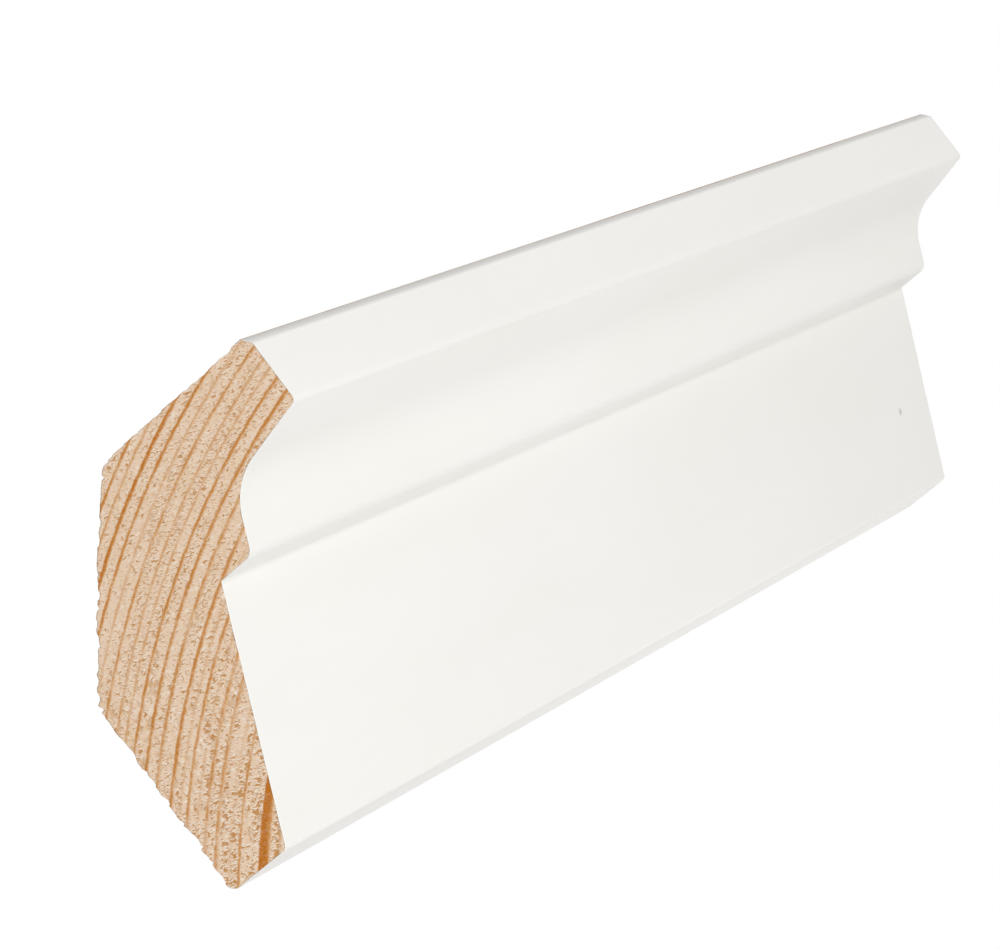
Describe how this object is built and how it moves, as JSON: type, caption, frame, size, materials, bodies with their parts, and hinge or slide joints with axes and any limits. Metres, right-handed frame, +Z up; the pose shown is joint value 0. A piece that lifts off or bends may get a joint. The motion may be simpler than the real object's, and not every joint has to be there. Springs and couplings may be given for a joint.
{
  "type": "crown moulding length",
  "caption": "Short straight length of painted pine crown moulding with an upright lip, a cove and bead, a sloping flat face and a bevelled back.",
  "frame": {"origin": "centre of the upright face that bears on the wall, at the middle of the length", "axes": "+X along the length, +Y out of the wall face into the wall, +Z up to the ceiling; the room is towards -Y"},
  "size_m": [0.255, 0.0487, 0.052],
  "materials": {
    "painted_pine": "satin warm off-white paint over planed pine, on the room side",
    "bare_pine": "bare sawn pine on the two cut ends, the wall face, the ceiling face and the back bevel"
  },
  "bodies": {
    "root": {"moulding": "painted_pine"}
  },
  "joints": []
}
